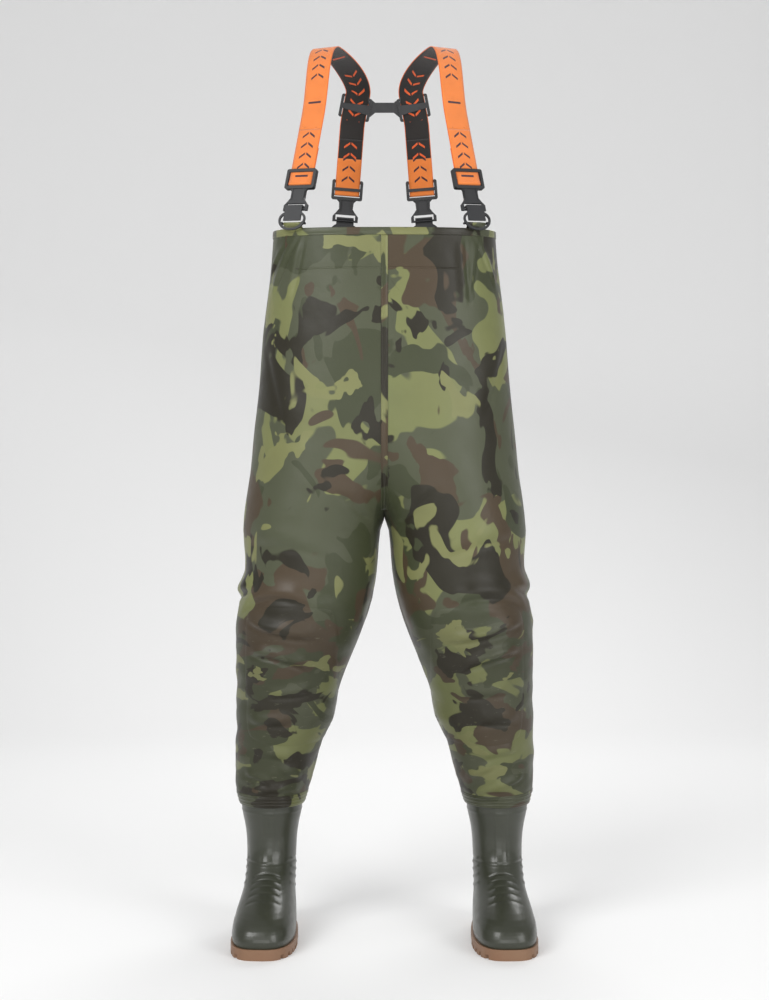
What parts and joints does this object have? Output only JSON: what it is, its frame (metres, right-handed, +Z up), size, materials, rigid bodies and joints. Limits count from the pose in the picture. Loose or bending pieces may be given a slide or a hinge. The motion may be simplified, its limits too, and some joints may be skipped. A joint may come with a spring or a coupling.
{
  "type": "chest waders",
  "caption": "Camouflage PVC chest waders with welded rubber boots and an H-back suspender set with hook clips and slider adjusters.",
  "frame": {"origin": "on the floor under the middle of the bounding box", "axes": "+Z up from soles to shoulder straps, front faces -Y, wearer's left at +X"},
  "size_m": [0.582, 0.375, 1.72],
  "materials": {
    "camo_pvc": "satin",
    "pvc_lining": "matte",
    "boot_rubber": "satin",
    "gum_sole": "satin",
    "felt_insole": "matte",
    "black_plastic": "satin",
    "orange_webbing": "matte"
  },
  "bodies": {
    "wader": {"bib_hem": "camo_pvc", "centre_seam_tape": "camo_pvc", "inner_pocket": "pvc_lining", "front_panel_left": "camo_pvc", "front_panel_right": "camo_pvc", "back_panel_left": "camo_pvc", "back_panel_right": "camo_pvc", "knee_patch_left": "camo_pvc", "knee_patch_right": "camo_pvc", "boot_joint_band_left": "camo_pvc", "boot_joint_band_right": "camo_pvc", "boot_upper_left": "boot_rubber", "boot_upper_right": "boot_rubber", "outsole_left": "gum_sole", "outsole_right": "gum_sole", "insole_left": "felt_insole", "insole_right": "felt_insole", "front_tab_left": "camo_pvc", "front_tab_right": "camo_pvc", "rear_tab_left": "camo_pvc", "rear_tab_right": "camo_pvc"},
    "suspenders": {"strap_left": "orange_webbing", "strap_right": "orange_webbing", "yoke": "black_plastic", "front_run_left": "orange_webbing", "front_run_right": "orange_webbing", "rear_run_left": "orange_webbing", "rear_run_right": "orange_webbing"},
    "front_clip_left_body": {"front_clip_left": "black_plastic", "front_webbing_end_left": "orange_webbing"},
    "front_ring_left_body": {"front_ring_left": "black_plastic"},
    "front_clip_right_body": {"front_clip_right": "black_plastic", "front_webbing_end_right": "orange_webbing"},
    "front_ring_right_body": {"front_ring_right": "black_plastic"},
    "rear_clip_left_body": {"rear_clip_left": "black_plastic", "rear_webbing_end_left": "orange_webbing"},
    "rear_ring_left_body": {"rear_ring_left": "black_plastic"},
    "rear_clip_right_body": {"rear_clip_right": "black_plastic", "rear_webbing_end_right": "orange_webbing"},
    "rear_ring_right_body": {"rear_ring_right": "black_plastic"}
  },
  "joints": [
    {"name": "suspenders_swing", "type": "hinge", "parent": "wader", "child": "suspenders", "pos_m": [0, 0.176, 1.40839], "axis": [-1, 0, 0], "range_deg": [0, 95]},
    {"name": "front_clip_left_slide", "type": "slide", "parent": "suspenders", "child": "front_clip_left_body", "axis": [-0.1625, 0.1935, 0.9675], "range_m": [0, 0.06], "deforming": ["front_run_left"]},
    {"name": "front_ring_left_tip", "type": "hinge", "parent": "wader", "child": "front_ring_left_body", "pos_m": [0.172, -0.0917, 1.35631], "axis": [0.8895, 0.4532, 0.0588], "range_deg": [0, 20]},
    {"name": "front_clip_right_slide", "type": "slide", "parent": "suspenders", "child": "front_clip_right_body", "axis": [0.1625, 0.1935, 0.9675], "range_m": [0, 0.06], "deforming": ["front_run_right"]},
    {"name": "front_ring_right_tip", "type": "hinge", "parent": "wader", "child": "front_ring_right_body", "pos_m": [-0.172, -0.0917, 1.35631], "axis": [0.8895, -0.4532, -0.0588], "range_deg": [0, 20]},
    {"name": "rear_clip_left_slide", "type": "slide", "parent": "suspenders", "child": "rear_clip_left_body", "axis": [-0.0794, -0.0992, 0.9919], "range_m": [0, 0.06], "deforming": ["rear_run_left"]},
    {"name": "rear_ring_left_tip", "type": "hinge", "parent": "wader", "child": "rear_ring_left_body", "pos_m": [0.083, 0.17878, 1.38062], "axis": [-0.9968, 0, -0.0797], "range_deg": [0, 20]},
    {"name": "rear_clip_right_slide", "type": "slide", "parent": "suspenders", "child": "rear_clip_right_body", "axis": [0.0794, -0.0992, 0.9919], "range_m": [0, 0.06], "deforming": ["rear_run_right"]},
    {"name": "rear_ring_right_tip", "type": "hinge", "parent": "wader", "child": "rear_ring_right_body", "pos_m": [-0.083, 0.17878, 1.38062], "axis": [-0.9968, 0, 0.0797], "range_deg": [0, 20]}
  ]
}
